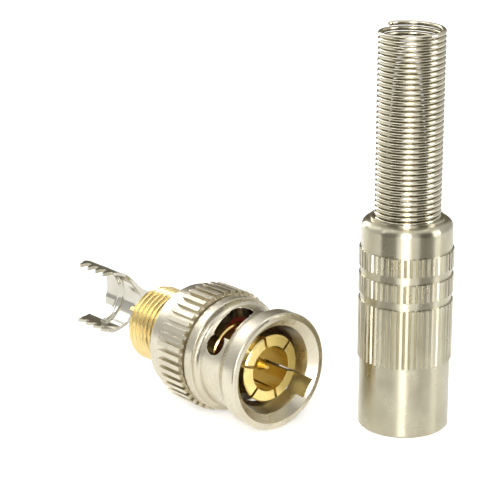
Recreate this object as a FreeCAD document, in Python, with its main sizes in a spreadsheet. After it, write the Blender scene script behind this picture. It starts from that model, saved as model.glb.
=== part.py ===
import FreeCAD
import Part
import Sketcher
import math
import os

# A coaxial bayonet plug that lies on its side, nose towards +X, and its screw-on rear shell with a strain
# relief spring, which stands on its open end beside the nose. Millimetres, +Z up. The origin is the middle of
# the plug's mating face, and both things stand on the surface under the plug's knurl.
#
# The plug's pieces are drawn in the plug's own frame: the first number is the distance behind the mating face
# and the second is the radius. Half a turn about Z puts them in place. Angles round the plug are counted from
# the top, towards +Y, which is the far side of the plug.

os.makedirs("parts", exist_ok=True)
doc = FreeCAD.newDocument("SolderConnector")
sheet = doc.addObject("Spreadsheet::Sheet", "Sizes")


class Size:
    # A number that keeps the formula it came from, so that a drawing and its binding always agree.

    def __init__(self, value, text):
        self.value = float(value)
        self.text = text

    def joined(self, other, sign, value):
        return Size(value, "(" + self.text + " " + sign + " " + words(other) + ")")

    def __add__(self, other):
        return self.joined(other, "+", self.value + number(other))

    def __sub__(self, other):
        return self.joined(other, "-", self.value - number(other))

    def __mul__(self, other):
        return self.joined(other, "*", self.value * number(other))

    def __truediv__(self, other):
        return self.joined(other, "/", self.value / number(other))


def number(item):
    return item.value if isinstance(item, Size) else float(item)


def words(item):
    return item.text if isinstance(item, Size) else repr(item)


def size(alias, value, note):
    # one row of the sheet: its meaning, and its number under an alias
    row = size.row
    size.row = row + 1
    sheet.set("A%d" % row, note)
    sheet.set("B%d" % row, str(value))
    sheet.setAlias("B%d" % row, alias)
    return Size(value, "Sizes." + alias)


size.row = 1

# clearances
turn_gap = size("turn_gap", 0.05, "radial clearance of the parts that turn or slide on the body")
end_gap = size("end_gap", 0.02, "end clearance of the coupling parts")
rubber_gap = size("rubber_gap", 0.07, "clearance round the rubber gasket")
spring_gap = size("spring_gap", 0.03, "clearance of the spring in the shell's end hole")
nut_gap = size("nut_gap", 0.2, "gap between the sleeve and the shell when the shell is screwed on")
overlap = size("overlap", 0.1, "how far a raised or cut form runs into its neighbour")
reach = size("reach", 0.5, "how far a cutting outline runs past the piece")

# coupling sleeve
ring_rise = size("ring_rise", 0.95, "how far the front ring stands over the neck")
ring_length = size("ring_length", 1.9, "front ring, length of its cylinder")
ring_edge = size("ring_edge", 0.3, "front ring, rounding of its front edge")
shoulder_back = size("shoulder_back", 3.1, "rear end of the rounded shoulder behind the ring")
shoulder_rise = size("shoulder_rise", 0.35, "height of that shoulder's rear end over the neck")
mouth_rim = size("mouth_rim", 0.78, "width of the ring's front face, its rounding included")
mouth_depth = size("mouth_depth", 0.95, "depth of the 45 degree mouth cone")
lead_back = size("lead_back", 2.6, "rear end of the shallow lead-in cone")
bore_room = size("bore_room", 0.88, "room round the outer contact for the jack's barrel")
neck_wall = size("neck_wall", 1.2, "wall of the neck")
neck_blend = size("neck_blend", 0.45, "length of the cone between the ring's shoulder and the neck")
neck_back = size("neck_back", 6.95, "rear end of the neck")
flare_radius = size("flare_radius", 0.7, "fillet from the neck up to the bead")
bead_lip = size("bead_lip", 0.1, "bevel between that fillet and the bead")
bead_edge = size("bead_edge", 0.25, "chamfer of the bead's rear edge")
bead_length = size("bead_length", 2.25, "from the neck's end to the rear face of the bead")
groove_wall = size("groove_wall", 0.3, "wall under the groove between bead and knurl")
groove_length = size("groove_length", 0.25, "width of that groove")
rib_length = size("rib_length", 4.1, "length of the knurl's ribs")
rib_height = size("rib_height", 0.55, "height of the ribs")
knurl_wall = size("knurl_wall", 0.75, "wall under the ribs")
rib_width = size("rib_width", 0.6, "width of one rib")
rib_tip = size("rib_tip", 0.2, "corners taken off the rear end of a rib")
sleeve_length = size("sleeve_length", 16.0, "length of the coupling sleeve")
tail_land = size("tail_land", 0.07, "flat rear face inside the rear rounding")
tail_round = size("tail_round", 0.5, "rounding of the rear edge")
chamber_front = size("chamber_front", 9.0, "front wall of the chamber for the body's flange")
rib_count = 42

# bayonet
stud_gap = size("stud_gap", 2.4, "width of the straight entry channels")
channel_wall = size("channel_wall", 0.2, "wall outside the channels' floor")
entry_back = size("entry_back", 5.3, "centre of the round start of a slot")
entry_bore = size("entry_bore", 2.7, "diameter of the round start")
entry_angle = size("entry_angle", -58.0, "angle of the round start")
ramp_angle = size("ramp_angle", -48.0, "angle where the ramp starts")
ramp_back = size("ramp_back", 4.9, "middle of the ramp at its start")
ramp_width = size("ramp_width", 3.0, "width of the ramp")
channel_turn = size("channel_turn", 3.0, "angle from a slot's round start to its channel")
ramp_travel = size("ramp_travel", 0.55, "how far back the ramp draws the stud")
seat_back = size("seat_back", 5.6, "centre of the seat at the slot's end")
seat_bore = size("seat_bore", 2.9, "diameter of the seat")
seat_angle = size("seat_angle", -9.0, "angle of the seat")

# outer contact
contact_front = size("contact_front", 1.45, "face of the outer contact")
contact_radius = size("contact_radius", 4.07, "lip and root of the outer contact")
lip_rise = size("lip_rise", 0.17, "how far the lip stands over the fingers")
contact_wall = size("contact_wall", 1.32, "wall of the outer contact at its lip and root")
lip_length = size("lip_length", 0.7, "length of the lip")
lip_edge = size("lip_edge", 0.15, "chamfer of the lip")
finger_back = size("finger_back", 7.2, "rear end of the fingers")
contact_back = size("contact_back", 11.0, "rear end of the outer contact")
slit_width = size("slit_width", 0.35, "width of the six slits")
slit_depth = size("slit_depth", 5.2, "length of the slits")
slit_angle = size("slit_angle", 47.0, "angle of the first slit")

# body
flange_plate = size("flange_plate", 1.18, "thickness of the body's flange")
hub_wall = size("hub_wall", 0.85, "wall of the hub that the sleeve's washers ride on")
washer_width = size("washer_width", 1.23, "room between the hub and the sleeve's chamber")
hub_back = size("hub_back", 15.7, "rear end of the hub")
relief_radius = size("relief_radius", 4.2, "groove before the thread")
relief_length = size("relief_length", 0.7, "length of that groove")
thread_radius = size("thread_radius", 4.7, "crests of the body's thread")
thread_depth = size("thread_depth", 0.48, "depth of the thread")
thread_pitch = size("thread_pitch", 0.794, "distance between the thread's crests")
thread_flat = size("thread_flat", 0.1, "flat on each crest")
thread_bite = size("thread_bite", 0.28, "how far the shell's thread reaches below those crests")
thread_edge = size("thread_edge", 0.37, "chamfers of the thread")
thread_turns = 8
core_radius = size("core_radius", 2.9, "bore for the front insulator")
socket_front = size("socket_front", 17.9, "front wall of the rear bore")
socket_wall = size("socket_wall", 0.6, "wall between the thread and the rear bore for the clamp's collar")

# gasket and coupling parts
gasket_height = size("gasket_height", 1.3, "how far the gasket stands in front of the chamber's front wall")
gasket_edge = size("gasket_edge", 0.2, "chamfers of the gasket's front face")
wave_height = size("wave_height", 0.5, "rise of each wave of the spring washer")
wave_plate = size("wave_plate", 0.25, "thickness of the spring washer")
washer_plate = size("washer_plate", 0.5, "thickness of the thrust washer")
wave_room = size("wave_room", 1.3, "room for the spring washer between flange and thrust washer")
circlip_plate = size("circlip_plate", 0.7, "thickness of the retaining ring")
circlip_bite = size("circlip_bite", 0.47, "depth of the retaining ring in its groove")
circlip_gap = size("circlip_gap", 0.38, "gap between the retaining ring and the hub")
circlip_turn = size("circlip_turn", 340.0, "angle that the split ring covers")

# insulators and pin
dielectric_front = size("dielectric_front", 7.1, "front face of the front insulator")
pin_front = size("pin_front", 2.0, "tip of the pin")
pin_radius = size("pin_radius", 0.68, "pin")
pin_point = size("pin_point", 0.2, "radius of the pin's blunt tip")
pin_taper = size("pin_taper", 1.1, "length of the pin's point")
collar_front = size("collar_front", 12.0, "front of the pin's shoulder")
collar_radius = size("collar_radius", 1.2, "pin's shoulder")
stem_radius = size("stem_radius", 0.88, "pin's stem and fork")
fork_back = size("fork_back", 27.4, "rear tips of the solder fork")
fork_depth = size("fork_depth", 3.8, "depth of the fork's slot")
fork_bore = size("fork_bore", 0.55, "radius of the hole for the wire")
fork_gap = size("fork_gap", 0.95, "width of the fork's slot")

# cable clamp
clamp_plate = size("clamp_plate", 0.4, "thickness of the clamp's sheet")
clamp_angle = size("clamp_angle", 94.0, "angle of the middle of the clamp's back")
strap_height = size("strap_height", 0.57, "height of the strap's bow")
widen_length = size("widen_length", 2.0, "length over which the strap widens to the trough")
trough_front = size("trough_front", 31.8, "front edge of the trough")
widen_rise = size("widen_rise", 0.38, "how much larger the trough's radius is than the collar's")
web_radius = size("web_radius", 1.4, "fillet between strap and trough")
ear_land = size("ear_land", 0.2, "from the trough's front edge to the gap before the first tooth")
ear_level = size("ear_level", 0.1, "how far the ears pass the axis, at the roots of the teeth")
ear_top = size("ear_top", 1.8, "height of the ears' inner edges over the axis, behind the rib")
tooth_level = size("tooth_level", 1.05, "how far the tips of the teeth pass the axis")
tooth_pitch = size("tooth_pitch", 1.6, "distance between teeth")
tooth_gap = size("tooth_gap", 0.65, "gap between teeth at their roots")
tooth_tip = size("tooth_tip", 0.25, "width of the tips of the teeth")
tooth_count = 4
tab_height = size("tab_height", 0.6, "height of the bow of the tab between the ears")
tab_land = size("tab_land", 0.35, "from the rib to the gaps between the tab and the ears")
tab_length = size("tab_length", 2.0, "length of those gaps along the tab")
rib_place = size("rib_place", 3.0, "from the trough's front edge to the middle of the pressed rib")
rib_half = size("rib_half", 0.65, "half the rib's width")
rib_rise = size("rib_rise", 0.38, "height of the rib")
rib_turn = size("rib_turn", 150.0, "angle that the rib covers")

# shell
shell_x = size("shell_x", 7.4, "place of the shell's axis, along the plug")
shell_y = size("shell_y", 13.1, "place of the shell's axis, across the plug")
shell_length = size("shell_length", 25.6, "length of the shell's sleeve")
thread_wall = size("thread_wall", 0.88, "wall outside the crests of the shell's thread")
cavity_wall = size("cavity_wall", 1.05, "wall outside the room for the cable clamp")
spring_wall = size("spring_wall", 1.43, "wall outside the spring")
end_plate = size("end_plate", 2.7, "thickness of the shell's end round the spring")
nut_edge = size("nut_edge", 0.3, "chamfer at the shell's open end")
shell_edge = size("shell_edge", 0.25, "chamfer round the open end")
dome_round = size("dome_round", 0.9, "radius of the rounding at the shell's end")
rim_height = size("rim_height", 0.3, "raised rim round the spring's hole")
rim_width = size("rim_width", 0.4, "width of that rim")
band_rise = size("band_rise", 0.2, "height of the knurled bands over the plain stretches")
band_drop = size("band_drop", 2.5, "from the rounding down to the upper band")
band_short = size("band_short", 2.15, "height of the upper and the middle band")
band_long = size("band_long", 7.1, "height of the long band")
band_gap = size("band_gap", 0.95, "plain stretches between the bands")
flute_width = size("flute_width", 0.36, "width of the flutes in the bands")
flute_depth = size("flute_depth", 0.17, "depth of those flutes")
flute_count = 50

# strain relief spring
spring_wire = size("spring_wire", 0.56, "diameter of the spring's wire")
spring_pitch = size("spring_pitch", 0.62, "distance between turns")
ridge_share = size("ridge_share", 0.45, "depth of the grooves between turns, as a share of the wire")
foot_step = size("foot_step", 0.28, "how much wider the turns are that hold the spring in the shell")
turn_count = 42
foot_turns = 2
hidden_turns = 6

# sizes that follow: the turned parts, from the outer contact outwards
finger_radius = contact_radius - lip_rise
contact_bore = contact_radius - contact_wall
bore_radius = contact_radius + bore_room
neck_radius = bore_radius + neck_wall
ring_radius = neck_radius + ring_rise
shoulder_radius = neck_radius + shoulder_rise
mouth_radius = ring_radius - mouth_rim
channel_radius = neck_radius - channel_wall
bead_radius = neck_radius + flare_radius + bead_lip
hub_radius = contact_radius + hub_wall
chamber_radius = hub_radius + washer_width
groove_radius = chamber_radius + groove_wall
knurl_root = chamber_radius + knurl_wall
knurl_radius = knurl_root + rib_height
tail_radius = chamber_radius + tail_land + tail_round
circlip_radius = chamber_radius + circlip_bite
circlip_bore = hub_radius + circlip_gap

# the places along them
bead_back = neck_back + bead_length
knurl_front = bead_back + groove_length
knurl_back = knurl_front + rib_length
gasket_front = chamber_front - gasket_height
flange_front = chamber_front + end_gap
flange_back = flange_front + flange_plate
washer_back = flange_back + wave_room + washer_plate
thread_front = hub_back + relief_length
body_back = thread_front + thread_edge * 2 + thread_flat + thread_pitch * (thread_turns - 1)

# the thread, the clamp and the shell
thread_root = thread_radius - thread_depth
socket_radius = thread_root - socket_wall
trough_radius = socket_radius + widen_rise
strap_level = socket_radius - strap_height
tab_level = trough_radius - tab_height
strap_back = trough_front - widen_length
ear_back = trough_front + ear_land + tooth_pitch * tooth_count
rib_middle = trough_front + rib_place
tab_front = rib_middle + rib_half + tab_land
tab_back = tab_front + tab_length
nut_top = body_back - sleeve_length - nut_gap
nut_radius = thread_radius - thread_bite
shell_radius = nut_radius + thread_wall
spring_radius = shell_radius - spring_wall
cavity_top = shell_length - end_plate
spring_foot = cavity_top - spring_gap - spring_pitch * foot_turns
doc.recompute()


def bind(item, path, measure):
    # ties one property of an object to the sheet
    item.setExpression(path, measure.text)


def plane_of(body, role):
    return [item for item in body.Origin.OriginFeatures if item.Role == role][0]


def new_body(label):
    body = doc.addObject("PartDesign::Body", label)
    body.Label = label
    return body


def new_sketch(body, name, role, turn=None, lift=None):
    # a sketch on one of the body's own planes, turned about X or about its normal, or lifted along its normal
    sketch = body.newObject("Sketcher::SketchObject", name)
    sketch.AttachmentSupport = [(plane_of(body, role), "")]
    sketch.MapMode = "FlatFace"
    if turn is not None:
        axis = FreeCAD.Vector(1, 0, 0) if role == "XZ_Plane" else FreeCAD.Vector(0, 0, 1)
        sketch.AttachmentOffset = FreeCAD.Placement(FreeCAD.Vector(), FreeCAD.Rotation(axis, turn.value))
        bind(sketch, "AttachmentOffset.Rotation.Angle", turn)
    if lift is not None:
        sketch.AttachmentOffset = FreeCAD.Placement(FreeCAD.Vector(0, 0, lift.value), FreeCAD.Rotation())
        bind(sketch, "AttachmentOffset.Base.z", lift)
    return sketch


def fix(sketch, kind, geometry, corner, value):
    # a coordinate of one point: on an axis for zero, or else a distance from the origin that the sheet drives
    if number(value) == 0 and not isinstance(value, Size):
        axis = -2 if kind == "DistanceX" else -1
        sketch.addConstraint(Sketcher.Constraint("PointOnObject", geometry, corner, axis))
        return
    place = sketch.addConstraint(Sketcher.Constraint(kind, -1, 1, geometry, corner, number(value)))
    if isinstance(value, Size):
        bind(sketch, "Constraints[%d]" % place, value)


def arc_centre(start, end, radius, left):
    # centre of the short arc between two points that turns left or right
    across = (end[0] - start[0], end[1] - start[1])
    chord = math.hypot(across[0], across[1])
    rise = math.sqrt(max(radius * radius - chord * chord / 4, 0))
    side = 1 if left else -1
    return FreeCAD.Vector((start[0] + end[0]) / 2 - side * across[1] / chord * rise,
                          (start[1] + end[1]) / 2 + side * across[0] / chord * rise, 0)


def outline(sketch, path):
    # A closed outline through the points of the path. A point is (x, y), or (x, y, radius, "left" or "right")
    # when an arc that turns that way arrives there.
    ends = []
    for index, point in enumerate(path):
        last = path[index - 1]
        start = (number(last[0]), number(last[1]))
        end = (number(point[0]), number(point[1]))
        if len(point) == 2:
            edge = Part.LineSegment(FreeCAD.Vector(start[0], start[1], 0), FreeCAD.Vector(end[0], end[1], 0))
            ends.append((sketch.addGeometry(edge, False), 1, 2))
            continue
        left = point[3] == "left"
        centre = arc_centre(start, end, number(point[2]), left)
        first, second = (start, end) if left else (end, start)
        angles = [math.atan2(spot[1] - centre.y, spot[0] - centre.x) for spot in (first, second)]
        circle = Part.Circle(centre, FreeCAD.Vector(0, 0, 1), number(point[2]))
        place = sketch.addGeometry(Part.ArcOfCircle(circle, angles[0], angles[1]), False)
        ends.append((place, 1, 2) if left else (place, 2, 1))
        radius = sketch.addConstraint(Sketcher.Constraint("Radius", place, number(point[2])))
        if isinstance(point[2], Size):
            bind(sketch, "Constraints[%d]" % radius, point[2])
    for index, point in enumerate(path):
        here = ends[index]
        after = ends[(index + 1) % len(path)]
        sketch.addConstraint(Sketcher.Constraint("Coincident", here[0], here[2], after[0], after[1]))
        fix(sketch, "DistanceX", after[0], after[1], point[0])
        fix(sketch, "DistanceY", after[0], after[1], point[1])


def round_hole(sketch, x, y, diameter):
    centre = FreeCAD.Vector(number(x), number(y), 0)
    circle = Part.Circle(centre, FreeCAD.Vector(0, 0, 1), number(diameter) / 2)
    place = sketch.addGeometry(circle, False)
    fix(sketch, "DistanceX", place, 3, x)
    fix(sketch, "DistanceY", place, 3, y)
    width = sketch.addConstraint(Sketcher.Constraint("Diameter", place, number(diameter)))
    if isinstance(diameter, Size):
        bind(sketch, "Constraints[%d]" % width, diameter)


def bar(sketch, left, right, width):
    # a rectangle from left to right that straddles the sketch's first axis
    outline(sketch, [(left, width / -2), (right, width / -2), (right, width / 2), (left, width / 2)])


def add_feature(body, kind, name, sketch, **settings):
    feature = body.newObject("PartDesign::" + kind, name)
    feature.Profile = sketch
    for key, value in settings.items():
        if isinstance(value, Size):
            setattr(feature, key, value.value)
            bind(feature, key, value)
        else:
            setattr(feature, key, value)
    doc.recompute()
    return feature


def turned(body, name, path, upright=False, angle=None):
    # a turned piece: an outline of distances and radii, revolved about the X axis, or about Z when upright
    sketch = new_sketch(body, name + "_profile", "XZ_Plane")
    if upright:
        path = [(point[1], point[0]) + tuple(point[2:]) for point in path]
    outline(sketch, path)
    axis = "V_Axis" if upright else "H_Axis"
    return add_feature(body, "Revolution", name, sketch, ReferenceAxis=(sketch, [axis]),
                       Angle=360.0 if angle is None else angle)


def around(body, name, features, axis, count):
    # repeats features round the piece's axis
    pattern = body.newObject("PartDesign::PolarPattern", name)
    pattern.Originals = features
    pattern.Axis = (axis, [""])
    pattern.Angle = 360.0
    pattern.Occurrences = count
    body.Tip = pattern
    doc.recompute()
    return pattern


def lay(body):
    # turns a plug piece so that its nose points along +X
    body.Placement = FreeCAD.Placement(FreeCAD.Vector(), FreeCAD.Rotation(FreeCAD.Vector(0, 0, 1), 180))


def stand(body):
    # puts a shell piece beside the plug's nose, on the surface that the plug's knurl lies on
    body.Placement = FreeCAD.Placement(FreeCAD.Vector(shell_x.value, shell_y.value, -knurl_radius.value),
                                       FreeCAD.Rotation())
    bind(body, "Placement.Base.x", shell_x)
    bind(body, "Placement.Base.y", shell_y)
    bind(body, "Placement.Base.z", knurl_radius * -1)


def coupling_sleeve():
    body = new_body("coupling_sleeve")
    lead_radius = mouth_radius - mouth_depth
    circlip_front = washer_back + end_gap
    circlip_seat = circlip_radius + end_gap
    flare_end = neck_back + flare_radius
    turned(body, "sleeve_turning", [
        (0, mouth_radius),
        (0, ring_radius - ring_edge),
        (ring_edge, ring_radius, ring_edge, "right"),
        (ring_length, ring_radius),
        (shoulder_back, shoulder_radius),
        (shoulder_back + neck_blend, neck_radius),
        (neck_back, neck_radius),
        (flare_end, neck_radius + flare_radius, flare_radius, "left"),
        (flare_end + bead_lip, bead_radius),
        (bead_back - bead_edge, bead_radius),
        (bead_back, bead_radius - bead_edge),
        (bead_back, groove_radius),
        (knurl_front, groove_radius),
        (knurl_front, knurl_root),
        (knurl_back + rib_width, knurl_root),
        (sleeve_length - tail_round, tail_radius),
        (sleeve_length, tail_radius - tail_round, tail_round, "right"),
        (sleeve_length, chamber_radius),
        (circlip_front + circlip_plate + end_gap, chamber_radius),
        (circlip_front + circlip_plate + end_gap, circlip_seat),
        (circlip_front - end_gap, circlip_seat),
        (circlip_front - end_gap, chamber_radius),
        (chamber_front, chamber_radius),
        (chamber_front, bore_radius),
        (lead_back, bore_radius),
        (mouth_depth, lead_radius)])

    # two straight channels let the jack's studs in through the ring
    channels = new_sketch(body, "channel_outline", "YZ_Plane", turn=entry_angle + channel_turn)
    outline(channels, [(stud_gap / -2, channel_radius * -1), (stud_gap / 2, channel_radius * -1),
                       (stud_gap / 2, channel_radius), (stud_gap / -2, channel_radius)])
    add_feature(body, "Pocket", "channels", channels, Type="Length", Length=entry_back, Reversed=True)

    # each slot: a round start behind its channel, a ramp round the neck and a round seat at the end
    for name, back, bore, angle in (("entry", entry_back, entry_bore, entry_angle),
                                    ("seat", seat_back, seat_bore, seat_angle)):
        hole = new_sketch(body, name + "_outline", "XZ_Plane", turn=angle - 90)
        round_hole(hole, back, 0, bore)
        add_feature(body, "Pocket", name + "_holes", hole, Type="Length", Length=ring_radius * 3,
                    SideType="Symmetric")
    ramp = new_sketch(body, "ramp_outline", "XZ_Plane", turn=ramp_angle)
    inner = bore_radius - reach
    outer = neck_radius + reach
    outline(ramp, [(ramp_back - ramp_width / 2, inner), (ramp_back + ramp_width / 2, inner),
                   (ramp_back + ramp_width / 2, outer), (ramp_back - ramp_width / 2, outer)])
    sweep = (seat_angle - ramp_angle) / 360
    cut = add_feature(body, "SubtractiveHelix", "ramp", ramp, ReferenceAxis=(ramp, ["H_Axis"]),
                      Mode="pitch-turns-angle", Pitch=ramp_travel / sweep, Turns=sweep, LeftHanded=False)
    around(body, "ramps", [cut], plane_of(body, "X_Axis"), 2)

    # coarse straight knurl: raised ribs, each with the corners taken off its rear end
    rib = new_sketch(body, "rib_outline", "XY_Plane", lift=knurl_root - overlap)
    side = rib_width / 2
    outline(rib, [(knurl_front, side * -1), (knurl_back - rib_tip, side * -1), (knurl_back, rib_tip - side),
                  (knurl_back, side - rib_tip), (knurl_back - rib_tip, side), (knurl_front, side)])
    raised = add_feature(body, "Pad", "rib", rib, Length=knurl_radius - knurl_root + overlap)
    around(body, "knurl", [raised], plane_of(body, "X_Axis"), rib_count)
    lay(body)
    return body


def outer_contact():
    body = new_body("outer_contact")
    lip_back = contact_front + lip_length
    turned(body, "contact_turning", [
        (contact_front, contact_bore),
        (contact_front, contact_radius - lip_edge),
        (contact_front + lip_edge, contact_radius),
        (lip_back, contact_radius),
        (lip_back + (contact_radius - finger_radius), finger_radius),
        (finger_back, finger_radius),
        (finger_back + (contact_radius - finger_radius), contact_radius),
        (contact_back, contact_radius),
        (contact_back, contact_bore)])
    slit = new_sketch(body, "slit_outline", "YZ_Plane", turn=slit_angle)
    end = contact_radius + reach
    outline(slit, [(slit_width / -2, end * -1), (slit_width / 2, end * -1),
                   (slit_width / 2, end), (slit_width / -2, end)])
    cut = add_feature(body, "Pocket", "slit", slit, Type="Length", Length=contact_front + slit_depth,
                      Reversed=True)
    around(body, "slits", [cut], plane_of(body, "X_Axis"), 6)
    lay(body)
    return body


def threaded_body():
    body = new_body("threaded_body")
    flange_radius = chamber_radius - turn_gap
    edge_radius = thread_radius - thread_edge
    path = [
        (flange_front, contact_radius),
        (flange_front, flange_radius),
        (flange_back, flange_radius),
        (flange_back, hub_radius),
        (hub_back, hub_radius),
        (hub_back, relief_radius),
        (thread_front, relief_radius),
        (thread_front, edge_radius)]
    # the thread's turns as rings: a flat crest, and a V groove before the next
    crest = thread_front + thread_edge
    for turn in range(thread_turns):
        if turn:
            path.append((crest - (thread_pitch - thread_flat) / 2, thread_root))
        path += [(crest, thread_radius), (crest + thread_flat, thread_radius)]
        crest = crest + thread_pitch
    path += [
        (body_back, edge_radius),
        (body_back, socket_radius),
        (socket_front, socket_radius),
        (socket_front, core_radius),
        (contact_back, core_radius),
        (contact_back, contact_radius)]
    turned(body, "body_turning", path)
    lay(body)
    return body


def face_gasket():
    body = new_body("face_gasket")
    outer = bore_radius - rubber_gap
    turned(body, "gasket_moulding", [
        (gasket_front + gasket_edge, contact_radius),
        (gasket_front, contact_radius + gasket_edge),
        (gasket_front, outer - gasket_edge),
        (gasket_front + gasket_edge, outer),
        (flange_front, outer),
        (flange_front, contact_radius)])
    lay(body)
    return body


def wave_washer():
    # A spring plate with three waves. Its side view is drawn as a strip of arcs, then cut to a ring.
    body = new_body("wave_washer")
    inner = hub_radius + turn_gap
    outer = chamber_radius - turn_gap * 2
    front = flange_back + end_gap / 2
    middle = front + wave_height / 2
    step = outer / 2
    # an arc of half a wave: its radius follows from its chord and its rise
    bow = (step * step / 4 + wave_height * wave_height / 4) / wave_height
    strip = new_sketch(body, "wave_outline", "XZ_Plane")
    path = [(middle, outer * -1)]
    for index in range(4):
        path.append((middle, outer * -1 + step * (index + 1), bow, "left" if index % 2 else "right"))
    path.append((middle + wave_plate, outer))
    for index in range(4):
        path.append((middle + wave_plate, outer - step * (index + 1), bow, "left" if index % 2 else "right"))
    outline(strip, path)
    add_feature(body, "Pad", "wave_strip", strip, Length=(outer + reach) * 2, SideType="Symmetric")
    hole = new_sketch(body, "wave_bore_outline", "YZ_Plane")
    round_hole(hole, 0, 0, inner * 2)
    add_feature(body, "Pocket", "wave_bore", hole, Type="Length", Length=body_back, Reversed=True)
    rim = new_sketch(body, "wave_rim_outline", "YZ_Plane")
    round_hole(rim, 0, 0, outer * 2)
    end = outer + reach
    outline(rim, [(end * -1, end * -1), (end, end * -1), (end, end), (end * -1, end)])
    add_feature(body, "Pocket", "wave_rim", rim, Type="Length", Length=body_back, Reversed=True)
    lay(body)
    return body


def thrust_washer():
    body = new_body("thrust_washer")
    inner = hub_radius + turn_gap
    outer = chamber_radius - turn_gap
    turned(body, "washer_turning", [
        (washer_back - washer_plate, inner),
        (washer_back - washer_plate, outer),
        (washer_back, outer),
        (washer_back, inner)])
    lay(body)
    return body


def retaining_ring():
    body = new_body("retaining_ring")
    front = washer_back + end_gap
    turned(body, "ring_stamping", [
        (front, circlip_bore),
        (front, circlip_radius),
        (front + circlip_plate, circlip_radius),
        (front + circlip_plate, circlip_bore)], angle=circlip_turn)
    lay(body)
    return body


def front_insulator():
    body = new_body("front_insulator")
    turned(body, "dielectric_turning", [
        (dielectric_front, pin_radius),
        (dielectric_front, contact_bore),
        (contact_back, contact_bore),
        (contact_back, core_radius),
        (socket_front, core_radius),
        (socket_front, collar_radius),
        (collar_front, collar_radius),
        (collar_front, pin_radius)])
    lay(body)
    return body


def rear_insulator():
    body = new_body("rear_insulator")
    turned(body, "bushing_turning", [
        (socket_front, stem_radius),
        (socket_front, socket_radius - clamp_plate),
        (body_back - clamp_plate, socket_radius - clamp_plate),
        (body_back - clamp_plate, stem_radius)])
    lay(body)
    return body


def centre_pin():
    body = new_body("centre_pin")
    turned(body, "pin_turning", [
        (pin_front, 0),
        (pin_front, pin_point),
        (pin_front + pin_taper, pin_radius),
        (collar_front, pin_radius),
        (collar_front, collar_radius),
        (socket_front, collar_radius),
        (socket_front, stem_radius),
        (fork_back, stem_radius),
        (fork_back, fork_bore),
        (fork_back - fork_depth, fork_bore),
        (fork_back - fork_depth - fork_bore, 0)])
    slot = new_sketch(body, "fork_outline", "XZ_Plane")
    bar(slot, fork_back - fork_depth, fork_back + reach, fork_gap)
    across = stem_radius * 4
    add_feature(body, "Pocket", "fork_slot", slot, Type="Length", Length=across, SideType="Symmetric")
    lay(body)
    return body


def cable_clamp():
    # A tube of sheet, wider at the back, cut away in side view to leave a collar, a strap and a trough with
    # two toothed ears and a tab between them. In that view the clamp's back is at the top, so the sketch
    # plane is turned to the back's angle.
    body = new_body("cable_clamp")
    inner = socket_radius - clamp_plate
    trough_bore = trough_radius - clamp_plate
    turned(body, "clamp_tube", [
        (socket_front, inner),
        (socket_front, socket_radius),
        (strap_back, socket_radius),
        (trough_front, trough_radius),
        (ear_back, trough_radius),
        (ear_back, trough_bore),
        (trough_front, trough_bore),
        (strap_back, inner)])
    below = trough_radius * -1 - reach
    above = trough_radius + reach
    end = ear_back + reach
    side = new_sketch(body, "clamp_outline", "XZ_Plane", turn=clamp_angle)
    outline(side, [
        (body_back, below),
        (end, below),
        (end, tooth_level * -1),
        (trough_front, tooth_level * -1),
        (trough_front, strap_level - web_radius),
        (trough_front - web_radius, strap_level, web_radius, "left"),
        (body_back, strap_level)])
    add_feature(body, "Pocket", "clamp_opening", side, Type="Length", Length=above * 2, SideType="Symmetric")

    # behind the rib, gaps part the ears from the tab, which is shorter
    tail = new_sketch(body, "tail_outline", "XZ_Plane", turn=clamp_angle)
    outline(tail, [
        (tab_front, ear_top),
        (end, ear_top),
        (end, above),
        (tab_back, above),
        (tab_back, tab_level),
        (tab_front, tab_level)])
    add_feature(body, "Pocket", "clamp_tail", tail, Type="Length", Length=above * 2, SideType="Symmetric")

    # tapered gaps before, between and behind the pointed teeth of both ears
    notch = new_sketch(body, "notch_outline", "XZ_Plane", turn=clamp_angle)
    mouth = tooth_pitch - tooth_tip
    outline(notch, [
        (ear_back - tooth_gap / 2, ear_level * -1),
        (ear_back - mouth / 2, tooth_level * -1),
        (ear_back - mouth / 2, below),
        (ear_back + mouth / 2, below),
        (ear_back + mouth / 2, tooth_level * -1),
        (ear_back + tooth_gap / 2, ear_level * -1)])
    gap = add_feature(body, "Pocket", "notch", notch, Type="Length", Length=above * 2, SideType="Symmetric")
    row = body.newObject("PartDesign::LinearPattern", "notches")
    row.Originals = [gap]
    row.Direction = (plane_of(body, "X_Axis"), [""])
    row.Reversed = True
    row.Length = tooth_pitch.value * tooth_count
    bind(row, "Length", tooth_pitch * tooth_count)
    row.Occurrences = tooth_count + 1
    body.Tip = row
    doc.recompute()

    # a rib pressed inwards grips the cable's jacket and leaves a groove outside
    bow = (rib_half * rib_half + rib_rise * rib_rise) / (rib_rise * 2)
    for name, kind, base in (("rib_ridge", "Revolution", trough_bore),
                             ("rib_groove", "Groove", trough_radius)):
        profile = new_sketch(body, name + "_outline", "XZ_Plane", turn=clamp_angle)
        outline(profile, [
            (rib_middle + rib_half, base + overlap),
            (rib_middle - rib_half, base + overlap),
            (rib_middle - rib_half, base),
            (rib_middle + rib_half, base, bow, "left")])
        add_feature(body, kind, name, profile, ReferenceAxis=(profile, ["H_Axis"]), Angle=rib_turn,
                    Midplane=True)
    lay(body)
    return body


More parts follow.
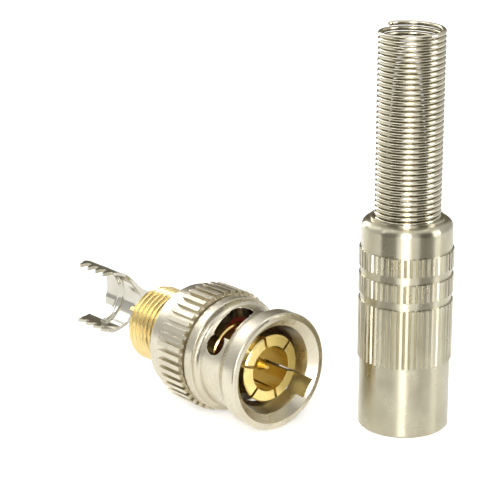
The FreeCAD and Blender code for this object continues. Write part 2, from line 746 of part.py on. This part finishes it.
def shell_sleeve():
    body = new_body("shell_sleeve")
    spring_seat = spring_radius + spring_gap
    rim_radius = spring_seat + rim_width
    band_radius = shell_radius + band_rise
    cavity_radius = shell_radius - cavity_wall
    dome_top = shell_length - rim_height
    dome_foot = dome_top - dome_round
    upper_top = dome_foot - band_drop
    upper_foot = upper_top - band_short
    middle_top = upper_foot - band_gap
    middle_foot = middle_top - band_short
    long_top = middle_foot - band_gap
    long_foot = long_top - band_long
    path = [
        (0, nut_radius + nut_edge),
        (0, shell_radius - shell_edge),
        (shell_edge, shell_radius)]
    for foot, top in ((long_foot, long_top), (middle_foot, middle_top), (upper_foot, upper_top)):
        path += [(foot, shell_radius), (foot, band_radius), (top, band_radius), (top, shell_radius)]
    path += [
        (dome_foot, shell_radius),
        (dome_top, shell_radius - dome_round, dome_round, "left"),
        (dome_top, rim_radius),
        (shell_length, rim_radius),
        (shell_length, spring_seat),
        (cavity_top, spring_seat),
        (cavity_top, cavity_radius),
        (nut_top, cavity_radius),
        (nut_top, nut_radius),
        (nut_edge, nut_radius)]
    turned(body, "shell_turning", path, upright=True)

    # straight V flutes make the bands' fine knurl
    flute = new_sketch(body, "flute_outline", "XY_Plane", lift=long_foot - overlap)
    side = flute_width / 2
    outline(flute, [(side * -1, band_radius), (0, band_radius - flute_depth), (side, band_radius),
                    (side, band_radius + overlap), (side * -1, band_radius + overlap)])
    cut = add_feature(body, "Pocket", "flute", flute, Type="Length", Reversed=True,
                      Length=upper_top - long_foot + overlap * 2)
    around(body, "flutes", [cut], plane_of(body, "Z_Axis"), flute_count)
    stand(body)
    return body


def strain_relief_spring():
    # The close wound spring as a ridged sleeve, with one ridge for each turn that shows. Its lowest turns are
    # wider and hold it in the shell, and those inside the shell's end are plain.
    body = new_body("strain_relief_spring")
    foot_radius = spring_radius + foot_step
    ridge_root = spring_radius - spring_wire * ridge_share
    foot_top = spring_foot + spring_pitch * foot_turns
    path = [
        (spring_foot, spring_radius - spring_wire),
        (spring_foot, foot_radius),
        (foot_top, foot_radius),
        (foot_top, spring_radius)]
    for turn in range(hidden_turns, turn_count):
        low = spring_foot + spring_pitch * turn
        if turn > hidden_turns:
            path.append((low, ridge_root))
        path.append((low + spring_pitch / 2, spring_radius))
    top = spring_foot + spring_pitch * turn_count
    path.append((top, ridge_root))
    path.append((top, spring_radius - spring_wire))
    turned(body, "spring_coil", path, upright=True)
    stand(body)
    return body


pieces = [coupling_sleeve(), outer_contact(), centre_pin(), threaded_body(), face_gasket(), wave_washer(),
          thrust_washer(), retaining_ring(), front_insulator(), rear_insulator(), cable_clamp(),
          shell_sleeve(), strain_relief_spring()]
doc.recompute()

for item in doc.Objects:
    if "Invalid" in item.State or "Error" in item.State:
        raise RuntimeError("failed: " + item.Name)
for piece in pieces:
    if piece.Shape.isNull() or not piece.Shape.isValid():
        raise RuntimeError("bad shape: " + piece.Label)
    piece.Shape.exportStep("parts/" + piece.Label + ".step")
    print(piece.Label, len(piece.Shape.Solids), round(piece.Shape.Volume, 2))
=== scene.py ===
import bmesh
import bpy
from math import cos, radians, sin, sqrt, tau
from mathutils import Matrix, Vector


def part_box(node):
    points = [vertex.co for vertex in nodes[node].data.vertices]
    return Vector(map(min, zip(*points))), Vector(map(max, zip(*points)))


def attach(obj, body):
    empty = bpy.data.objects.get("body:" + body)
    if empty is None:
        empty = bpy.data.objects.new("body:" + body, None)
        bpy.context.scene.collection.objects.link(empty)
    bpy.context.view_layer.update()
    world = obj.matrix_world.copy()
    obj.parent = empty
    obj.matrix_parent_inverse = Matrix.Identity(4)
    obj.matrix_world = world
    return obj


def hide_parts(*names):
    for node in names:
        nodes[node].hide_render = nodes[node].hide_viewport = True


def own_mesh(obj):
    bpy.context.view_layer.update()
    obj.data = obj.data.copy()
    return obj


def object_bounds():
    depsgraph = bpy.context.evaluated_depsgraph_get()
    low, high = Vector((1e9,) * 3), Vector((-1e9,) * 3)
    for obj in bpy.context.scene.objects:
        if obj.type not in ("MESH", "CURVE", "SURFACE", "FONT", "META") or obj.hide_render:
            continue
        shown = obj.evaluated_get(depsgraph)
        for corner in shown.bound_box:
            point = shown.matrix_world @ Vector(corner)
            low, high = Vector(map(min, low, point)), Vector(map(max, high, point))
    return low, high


# A coaxial bayonet plug on its side and its screw-on shell with a strain relief spring. The solids come from
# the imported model. This script adds the body with its thread, the wound spring and the bent spring washer,
# and then the finishes, the light and the camera. Sizes of the pieces are in millimetres.

mm = 0.001
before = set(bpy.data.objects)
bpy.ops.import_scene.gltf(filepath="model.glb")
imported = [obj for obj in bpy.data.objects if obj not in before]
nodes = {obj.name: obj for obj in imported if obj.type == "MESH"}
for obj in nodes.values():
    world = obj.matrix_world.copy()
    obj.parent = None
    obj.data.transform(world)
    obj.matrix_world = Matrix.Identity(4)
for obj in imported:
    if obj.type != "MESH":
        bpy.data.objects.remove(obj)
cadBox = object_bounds()
print("frame loaded:", len(nodes), "solids")

shellLow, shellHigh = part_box("shell_sleeve")
shellX = (shellLow[0] + shellHigh[0]) / 2
shellY = (shellLow[1] + shellHigh[1]) / 2
sharpAngle = radians(30)


# helpers for shader nodes

def addNode(tree, kind, **settings):
    node = tree.nodes.new("ShaderNode" + kind)
    for key, value in settings.items():
        setattr(node, key, value)
    return node


def feed(tree, node, place, value):
    # a socket is linked, and a number, vector or colour is written on the input itself
    if isinstance(value, bpy.types.NodeSocket):
        tree.links.new(value, node.inputs[place])
    else:
        node.inputs[place].default_value = value


def mathNode(tree, operation, *values):
    node = addNode(tree, "Math", operation=operation)
    for place, value in enumerate(values):
        feed(tree, node, place, value)
    return node.outputs[0]


def vectorNode(tree, operation, *values):
    node = addNode(tree, "VectorMath", operation=operation)
    for place, value in enumerate(values):
        feed(tree, node, place, value)
    return node


def blendColours(tree, factor, first, second):
    node = addNode(tree, "Mix", data_type="RGBA")
    feed(tree, node, "Factor", factor)
    feed(tree, node, "A", first)
    feed(tree, node, "B", second)
    return node.outputs["Result"]


def remap(tree, value, source, target):
    node = addNode(tree, "MapRange")
    feed(tree, node, "Value", value)
    feed(tree, node, "From Min", source[0])
    feed(tree, node, "From Max", source[1])
    feed(tree, node, "To Min", target[0])
    feed(tree, node, "To Max", target[1])
    return node.outputs["Result"]


def noiseOf(tree, place, scale, detail):
    node = addNode(tree, "TexNoise")
    feed(tree, node, "Vector", place)
    feed(tree, node, "Scale", scale)
    feed(tree, node, "Detail", detail)
    return node.outputs["Fac"]


def bumpOf(tree, height, strength, distance, normal=None):
    node = addNode(tree, "Bump")
    feed(tree, node, "Height", height)
    feed(tree, node, "Strength", strength)
    feed(tree, node, "Distance", distance * mm)
    if normal is not None:
        feed(tree, node, "Normal", normal)
    return node.outputs["Normal"]


def startMaterial(name):
    material = bpy.data.materials.new(name)
    material.use_nodes = True
    return material, material.node_tree


# helpers for meshes

def meshPiece(name, build):
    mesh = bpy.data.meshes.new(name)
    shape = bmesh.new()
    build(shape)
    bmesh.ops.recalc_face_normals(shape, faces=shape.faces)
    shape.to_mesh(mesh)
    shape.free()
    mesh.polygons.foreach_set("use_smooth", [True] * len(mesh.polygons))
    piece = bpy.data.objects.new(name, mesh)
    bpy.context.scene.collection.objects.link(piece)
    return piece


def joinRings(shape, rings):
    count = len(rings[0])
    for last, here in zip(rings, rings[1:]):
        for place in range(count):
            after = (place + 1) % count
            shape.faces.new((last[place], last[after], here[after], here[place]))


# finishes: marks and grain are counted per millimetre, and edge is the radius of the rounded edges

finishes = {
    "sleeveNickel": {
        "colour": (0.68, 0.63, 0.50), "shade": (0.60, 0.55, 0.43), "roughness": (0.23, 0.34), "stretch": 0.3,
        "marks": 14, "markDepth": 0.10, "grainDepth": 0.06, "edge": 0.11, "axis": "X"},
    "shellNickel": {
        "colour": (0.52, 0.485, 0.37), "shade": (0.45, 0.42, 0.31), "roughness": (0.25, 0.35), "stretch": 0.9,
        "marks": 10, "markDepth": 0.30, "grainDepth": 0.05, "edge": 0.06, "axis": "Z"},
    "sheetNickel": {
        "colour": (0.62, 0.60, 0.52), "shade": (0.55, 0.53, 0.45), "roughness": (0.08, 0.16), "stretch": 0.0,
        "marks": 3, "markDepth": 0.04, "grainDepth": 0.06, "edge": 0.08, "axis": "X"},
    "wireNickel": {
        "colour": (0.62, 0.58, 0.46), "shade": (0.48, 0.44, 0.33), "roughness": (0.14, 0.26), "stretch": 0.0,
        "marks": 6, "markDepth": 0.05, "grainDepth": 0.06, "edge": 0.02, "axis": "Z"},
    "contactGold": {
        "colour": (0.96, 0.78, 0.34), "shade": (0.90, 0.70, 0.27), "roughness": (0.15, 0.26), "stretch": 0.3,
        "marks": 12, "markDepth": 0.08, "grainDepth": 0.05, "edge": 0.04, "axis": "X"},
    "threadGold": {
        "colour": (0.87, 0.71, 0.37), "shade": (0.79, 0.63, 0.29), "roughness": (0.17, 0.28), "stretch": 0.2,
        "marks": 12, "markDepth": 0.08, "grainDepth": 0.08, "edge": 0.05, "axis": "X"},
    "springSteel": {
        "colour": (0.42, 0.41, 0.38), "shade": (0.32, 0.31, 0.29), "roughness": (0.22, 0.36), "stretch": 0.3,
        "marks": 5, "markDepth": 0.10, "grainDepth": 0.10, "edge": 0.03, "axis": "X"}}

softFinishes = {
    "gasketRubber": {
        "colour": (0.16, 0.010, 0.008), "shade": (0.10, 0.006, 0.005), "roughness": (0.48, 0.62),
        "grain": 6, "grainDepth": 0.25},
    "insulatorWhite": {
        "colour": (0.86, 0.86, 0.82), "shade": (0.78, 0.78, 0.74), "roughness": (0.32, 0.44),
        "grain": 4, "grainDepth": 0.08}}

# what all finishes share: patches of colour and polish, turning marks and a grain, counted per millimetre too
texture = {
    "patches": 0.35, "patchDetail": 4, "patchRange": (0.3, 0.7), "markDetail": 2, "markRelief": 0.02,
    "endFaceShare": 0.618, "grain": 4, "grainDetail": 2, "grainRelief": 0.02, "softDetail": 3,
    "softRelief": 0.03, "edgeSamples": 6, "stretchTurn": 0.25}


def newMaterial(name, look):
    material, tree = startMaterial(name)
    shader = tree.nodes["Principled BSDF"]
    place = addNode(tree, "TexCoord").outputs["Object"]
    cloud = noiseOf(tree, place, texture["patches"] / mm, texture["patchDetail"])
    patches = remap(tree, cloud, texture["patchRange"], (0, 1))
    colour = blendColours(tree, patches, (*look["colour"], 1), (*look["shade"], 1))
    feed(tree, shader, "Base Color", colour)
    feed(tree, shader, "Roughness", remap(tree, cloud, texture["patchRange"], look["roughness"]))
    return material, tree, shader, place


def latheDistance(tree, place, axis):
    # runs along the work and across its end faces, so that tool marks are rings on both
    apart = addNode(tree, "SeparateXYZ")
    feed(tree, apart, 0, place)
    x, y, z = apart.outputs
    if axis == "X":
        along, first, second = x, y, z
    else:
        along = z
        first = mathNode(tree, "SUBTRACT", x, shellX)
        second = mathNode(tree, "SUBTRACT", y, shellY)
    squares = [mathNode(tree, "MULTIPLY", side, side) for side in (first, second)]
    radius = mathNode(tree, "SQRT", mathNode(tree, "ADD", *squares))
    return mathNode(tree, "ADD", along, mathNode(tree, "MULTIPLY", radius, texture["endFaceShare"]))


def platedMetal(name):
    # plated metal: rounded edges, turning marks, a fine grain, and polish that varies a little
    look = finishes[name]
    material, tree, shader, place = newMaterial(name, look)
    feed(tree, shader, "Metallic", 1.0)
    feed(tree, shader, "Anisotropic", look["stretch"])
    feed(tree, shader, "Anisotropic Rotation", texture["stretchTurn"])
    tangent = addNode(tree, "Tangent", direction_type="RADIAL", axis=look["axis"])
    feed(tree, shader, "Tangent", tangent.outputs[0])
    edge = addNode(tree, "Bevel", samples=texture["edgeSamples"])
    feed(tree, edge, "Radius", look["edge"] * mm)
    ring = addNode(tree, "TexNoise", noise_dimensions="1D")
    feed(tree, ring, "W", latheDistance(tree, place, look["axis"]))
    feed(tree, ring, "Scale", look["marks"] / mm)
    feed(tree, ring, "Detail", texture["markDetail"])
    marks = bumpOf(
        tree, ring.outputs["Fac"], look["markDepth"], texture["markRelief"], edge.outputs["Normal"])
    grain = noiseOf(tree, place, texture["grain"] / mm, texture["grainDetail"])
    feed(tree, shader, "Normal", bumpOf(tree, grain, look["grainDepth"], texture["grainRelief"], marks))
    return material


def softMaterial(name):
    # rubber and plastic: one coarse grain, and polish that varies a little
    look = softFinishes[name]
    material, tree, shader, place = newMaterial(name, look)
    grain = noiseOf(tree, place, look["grain"] / mm, texture["softDetail"])
    feed(tree, shader, "Normal", bumpOf(tree, grain, look["grainDepth"], texture["softRelief"]))
    return material


materials = {name: platedMetal(name) for name in finishes}
materials.update({name: softMaterial(name) for name in softFinishes})

# where the bayonet slots lie behind the mating face, and below which radius, and the near-black colour
# painted on their walls as shade
slotShade = {"front": 2.0, "back": 7.2, "radius": 6.1, "facing": 0.5, "colour": (0.07, 0.055, 0.04)}


def paintSlotShade(tree):
    # painted shade: the slots' walls, which don't face outwards, get a near-black base colour that stands in
    # for the shade and dark reflections inside the slots. The radius and the facing are measured in
    # # the world, so that they also hold when the sleeve has turned about its axis
    shader = tree.nodes["Principled BSDF"]
    surface = addNode(tree, "NewGeometry")
    apart = addNode(tree, "SeparateXYZ")
    feed(tree, apart, 0, addNode(tree, "TexCoord").outputs["Object"])
    along = apart.outputs["X"]
    outwards = vectorNode(tree, "MULTIPLY", surface.outputs["Position"], (0, 1, 1)).outputs["Vector"]
    radius = vectorNode(tree, "LENGTH", outwards).outputs["Value"]
    direction = vectorNode(tree, "NORMALIZE", outwards).outputs["Vector"]
    facing = vectorNode(tree, "DOT_PRODUCT", direction, surface.outputs["True Normal"]).outputs["Value"]
    slotShadeMask = mathNode(tree, "LESS_THAN", mathNode(tree, "ABSOLUTE", facing), slotShade["facing"])
    limits = (
        ("LESS_THAN", radius, slotShade["radius"]),
        ("LESS_THAN", along, -slotShade["front"]),
        ("GREATER_THAN", along, -slotShade["back"]))
    for operation, value, limit in limits:
        slotShadeMask = mathNode(tree, "MULTIPLY", slotShadeMask, mathNode(tree, operation, value, limit * mm))
    colour = shader.inputs["Base Color"].links[0].from_socket
    feed(tree, shader, "Base Color", blendColours(tree, slotShadeMask, colour, (*slotShade["colour"], 1)))


# the sleeve's slot walls get a painted shade
paintSlotShade(materials["sleeveNickel"].node_tree)

nodeFinish = {
    "coupling_sleeve": "sleeveNickel", "outer_contact": "contactGold", "centre_pin": "contactGold",
    "threaded_body": "threadGold", "face_gasket": "gasketRubber", "wave_washer": "springSteel",
    "thrust_washer": "springSteel", "retaining_ring": "springSteel", "front_insulator": "insulatorWhite",
    "rear_insulator": "insulatorWhite", "cable_clamp": "sheetNickel", "shell_sleeve": "shellNickel",
    "strain_relief_spring": "wireNickel"}


def dress(piece, finish):
    piece.data.materials.clear()
    piece.data.materials.append(materials[finish])


for nodeName, finishName in nodeFinish.items():
    dress(nodes[nodeName], finishName)
print("finishes made:", len(materials))


# the wound spring, with its wide turns in the shell

spring = {"radius": 3.87, "wideRadius": 4.15, "wire": 0.56, "turns": 42, "wideTurns": 2,
          "steps": 56, "sides": 12}


def windSpring(shape):
    low, high = (corner[2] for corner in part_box("strain_relief_spring"))
    wire = spring["wire"] / 2 * mm
    count = spring["turns"] * spring["steps"] - spring["steps"] // 2
    pitch = (high - low - wire * 2) / count * spring["steps"]
    rings = []
    for step in range(count + 1):
        turn = step / spring["steps"]
        blend = min(max(turn - spring["wideTurns"] + 0.5, 0), 1)
        outer = spring["wideRadius"] + (spring["radius"] - spring["wideRadius"]) * blend
        coil = outer * mm - wire
        height = low + wire + turn * pitch
        angle = tau * turn
        ring = []
        for side in range(spring["sides"]):
            around = tau * side / spring["sides"]
            reach = coil + wire * cos(around)
            spot = (shellX + reach * cos(angle), shellY + reach * sin(angle), height + wire * sin(around))
            ring.append(shape.verts.new(spot))
        rings.append(ring)
    joinRings(shape, rings)
    shape.faces.new(rings[0])
    shape.faces.new(list(reversed(rings[-1])))


springWire = meshPiece("spring_wire", windSpring)
dress(springWire, "wireNickel")
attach(springWire, "plug")
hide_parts("strain_relief_spring")
print("spring wound:", spring["turns"], "turns")


# the body with its thread, cut as a helix: its outside and its inside as distance behind the mating face and
# radius, with the thread between them

body = {
    "profile": ((9.02, 4.07), (9.02, 6.1), (10.2, 6.1), (10.2, 4.92), (15.7, 4.92), (15.7, 4.2), (16.4, 4.2)),
    "rear": ((22.798, 3.62), (17.9, 3.62), (17.9, 2.9), (11.0, 2.9), (11.0, 4.07)),
    "threadFront": 16.4, "threadBack": 22.798, "crest": 4.70, "root": 4.22, "pitch": 0.794, "edge": 0.42,
    "crestRise": 1.25, "flankSlope": 3.0, "steps": 140, "rise": 12}


def threadRadius(distance, turn):
    # a V thread with a small flat at its crest and root, run out at both ends
    phase = (distance / body["pitch"] - turn) % 1
    ridge = min(max(body["crestRise"] - abs(phase - 0.5) * body["flankSlope"], 0), 1)
    radius = body["root"] + (body["crest"] - body["root"]) * ridge
    fromEnd = min(distance - body["threadFront"], body["threadBack"] - distance)
    return min(radius, body["crest"] - body["edge"] + max(fromEnd, 0))


def turnBody(shape):
    steps = body["steps"]
    count = round((body["threadBack"] - body["threadFront"]) / body["pitch"] * body["rise"])
    span = (body["threadBack"] - body["threadFront"]) / count
    lines = [[(distance, radius)] * steps for distance, radius in body["profile"]]
    for place in range(count + 1):
        distance = body["threadFront"] + span * place
        lines.append([(distance, threadRadius(distance, step / steps)) for step in range(steps)])
    lines += [[(distance, radius)] * steps for distance, radius in body["rear"]]
    rings = []
    for line in lines:
        ring = []
        for step, (distance, radius) in enumerate(line):
            angle = tau * step / steps
            ring.append(shape.verts.new((-distance * mm, radius * mm * sin(angle), radius * mm * cos(angle))))
        rings.append(ring)
    joinRings(shape, rings + rings[:1])


bodyTurned = meshPiece("body_with_thread", turnBody)
bodyTurned.data.polygons.foreach_set("use_smooth", [False] * len(bodyTurned.data.polygons))
bodyTurned.data.set_sharp_from_angle(angle=sharpAngle)
dress(bodyTurned, "threadGold")
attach(bodyTurned, "plug")
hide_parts("threaded_body")
print("body thread cut")


# the spring washer, bent in waves at rest; the real one flattens as the coupling sleeve is pushed forwards

washer = {"inner": 4.97, "plate": 0.25, "wave": 0.5, "bends": 4, "flattened": 0.9, "rings": 10, "steps": 120}


def bendSpringWasher(shape):
    low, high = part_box("wave_washer")
    outer = (high[1] - low[1]) / 2
    inner = washer["inner"] * mm
    rise = washer["wave"] / 2 * mm
    chord = outer * 2 / washer["bends"]
    bow = (chord * chord / 4 + rise * rise) / (rise * 2)
    sheets = []
    for back in (0, washer["plate"] * mm):
        rings = []
        for place in range(washer["rings"] + 1):
            radius = inner + (outer - inner) * place / washer["rings"]
            ring = []
            for step in range(washer["steps"]):
                angle = tau * step / washer["steps"]
                up = radius * cos(angle)
                bend = min(int((up + outer) / chord), washer["bends"] - 1)
                offset = up + outer - chord * (bend + 0.5)
                lift = sqrt(bow * bow - offset * offset) - (bow - rise)
                way = -1 if bend % 2 else 1
                ring.append(shape.verts.new((high[0] - rise - back + lift * way, radius * sin(angle), up)))
            rings.append(ring)
        sheets.append(rings)
    front, rear = sheets
    loop = front + rear[::-1]
    joinRings(shape, loop + loop[:1])


springWasher = meshPiece("spring_washer", bendSpringWasher)
springWasher.data.set_sharp_from_angle(angle=sharpAngle)
dress(springWasher, "springSteel")
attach(springWasher, "plug")
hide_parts("wave_washer")
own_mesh(springWasher)
print("spring washer bent")


# floor and light, in metres and watts

studio = {
    "floorColour": (0.90, 0.90, 0.89), "floorRoughness": 0.9, "floorSize": 3.0, "floorDrop": 0.00002,
    "floorSeen": 0.42, "floorFar": 1.0, "fadeFrom": 0.05, "fadeTo": 0.30, "floorMirrored": 0.34,
    "horizon": 0.55, "zenith": 1.0, "worldLight": 0.40}

# azimuth and elevation as seen from the object, distance, width, height and power
lamps = {
    "front_light": (44, 20, 0.40, 0.12, 0.30, 1.35),
    "side_light": (-10, 48, 0.40, 0.22, 0.16, 0.30),
    "nose_light": (125, 22, 0.40, 0.16, 0.22, 0.60),
    "back_light": (-75, 38, 0.40, 0.16, 0.24, 0.20),
    "rear_light": (262, 18, 0.40, 0.10, 0.26, 0.50),
    "top_light": (200, 75, 0.40, 0.30, 0.20, 0.15)}

# azimuth as seen from the shell, distance, width and height, and the grey that each standing card shows
cards = {
    "card_left": (1, 0.045, 0.032, 0.080, 0.12),
    "card_right": (94, 0.045, 0.032, 0.080, 0.12),
    "card_behind": (229, 0.200, 0.200, 0.150, 0.20)}
cardTint = (1.0, 0.9, 0.7)


def towards(azimuth, elevation):
    side = radians(azimuth)
    up = radians(elevation)
    return Vector((sin(side) * cos(up), -cos(side) * cos(up), sin(up)))


def makeFloor():
    def build(shape):
        half = studio["floorSize"] / 2
        low = cadBox[0][2] - studio["floorDrop"]
        corners = ((-half, -half), (half, -half), (half, half), (-half, half))
        shape.faces.new([shape.verts.new((x, y, low)) for x, y in corners])
    floor = meshPiece("floor", build)
    material, tree = startMaterial("floorPale")
    shader = tree.nodes["Principled BSDF"]
    feed(tree, shader, "Base Color", (*studio["floorColour"], 1))
    feed(tree, shader, "Roughness", studio["floorRoughness"])
    feed(tree, shader, "Specular IOR Level", 0.0)
    rays = addNode(tree, "LightPath")
    mirrored = mathNode(tree, "MAXIMUM", rays.outputs["Is Glossy Ray"], rays.outputs["Is Transmission Ray"])
    mirrored = mathNode(tree, "MULTIPLY", mirrored, studio["floorMirrored"])
    # away from the object the lamps fade, so the floor glows more there and meets the white behind it
    fromObject = vectorNode(tree, "LENGTH", addNode(tree, "TexCoord").outputs["Object"]).outputs["Value"]
    fade = remap(
        tree, fromObject, (studio["fadeFrom"], studio["fadeTo"]), (studio["floorSeen"], studio["floorFar"]))
    seen = mathNode(tree, "MULTIPLY", rays.outputs["Is Camera Ray"], fade)
    glow = addNode(tree, "Emission")
    feed(tree, glow, "Strength", mathNode(tree, "ADD", seen, mirrored))
    both = addNode(tree, "AddShader")
    feed(tree, both, 0, shader.outputs[0])
    feed(tree, both, 1, glow.outputs[0])
    feed(tree, tree.nodes["Material Output"], "Surface", both.outputs[0])
    floor.data.materials.append(material)


def makeWorld():
    world = bpy.data.worlds.new("studioWorld")
    bpy.context.scene.world = world
    world.use_nodes = True
    tree = world.node_tree
    sky = tree.nodes["Background"]
    apart = addNode(tree, "SeparateXYZ")
    feed(tree, apart, 0, addNode(tree, "TexCoord").outputs["Generated"])
    height = remap(tree, apart.outputs["Z"], (0, 1), (studio["horizon"], studio["zenith"]))
    feed(tree, sky, "Color", height)
    # the world shows in full, and lights the object with a part of that
    rays = addNode(tree, "LightPath")
    seen = mathNode(tree, "MAXIMUM", rays.outputs["Is Camera Ray"], rays.outputs["Is Glossy Ray"])
    seen = mathNode(tree, "MAXIMUM", seen, rays.outputs["Is Transmission Ray"])
    strength = mathNode(tree, "MULTIPLY", seen, 1 - studio["worldLight"])
    feed(tree, sky, "Strength", mathNode(tree, "ADD", strength, studio["worldLight"]))


def softBox(name, azimuth, elevation, distance, width, height, power):
    lamp = bpy.data.lights.new(name, "AREA")
    lamp.shape = "RECTANGLE"
    lamp.size = width
    lamp.size_y = height
    lamp.energy = power
    holder = bpy.data.objects.new(name, lamp)
    back = towards(azimuth, elevation)
    holder.location = back * distance
    holder.rotation_euler = back.to_track_quat("Z", "Y").to_euler()
    bpy.context.scene.collection.objects.link(holder)


def greyCard(name, azimuth, distance, width, height, grey):
    # a card gives the polished metal something darker to mirror, and lights or hides nothing
    def build(shape):
        spots = ((-width / 2, 0), (width / 2, 0), (width / 2, height), (-width / 2, height))
        shape.faces.new([shape.verts.new((across, 0, up)) for across, up in spots])
    card = meshPiece(name, build)
    card.location = Vector((shellX, shellY, cadBox[0][2])) + towards(azimuth, 0) * distance
    card.rotation_euler = (0, 0, radians(azimuth))
    material, tree = startMaterial(name)
    glow = addNode(tree, "Emission")
    feed(tree, glow, "Color", (*(grey * share for share in cardTint), 1))
    feed(tree, tree.nodes["Material Output"], "Surface", glow.outputs[0])
    card.data.materials.append(material)
    card.visible_camera = False
    card.visible_diffuse = False
    card.visible_shadow = False


# the lens and the sensor in millimetres, the scale in pixels per millimetre, and where the origin falls in a
# picture of that many pixels
camera = {"azimuth": 49, "elevation": 18, "lens": 144, "sensor": 36, "scale": 8.6, "originAt": (279, 372),
          "picture": 500, "clip": 0.01}


def makeCamera():
    data = bpy.data.cameras.new("camera")
    data.lens = camera["lens"]
    data.sensor_width = camera["sensor"]
    data.clip_start = camera["clip"]
    holder = bpy.data.objects.new("camera", data)
    bpy.context.scene.collection.objects.link(holder)
    bpy.context.scene.camera = holder
    back = towards(camera["azimuth"], camera["elevation"])
    right = Vector((0, 0, 1)).cross(back).normalized()
    up = back.cross(right)
    half = camera["picture"] / 2
    aim = right * (half - camera["originAt"][0]) + up * (camera["originAt"][1] - half)
    aim *= mm / camera["scale"]
    distance = camera["lens"] / camera["sensor"] * camera["picture"] / camera["scale"] * mm
    holder.location = aim + back * distance
    holder.rotation_mode = "QUATERNION"
    holder.rotation_quaternion = (-back).to_track_quat("-Z", "Y")


makeFloor()
makeWorld()
for name, setting in lamps.items():
    softBox(name, *setting)
for name, setting in cards.items():
    greyCard(name, *setting)
makeCamera()
bpy.context.scene.view_settings.view_transform = "Standard"
print("studio ready")
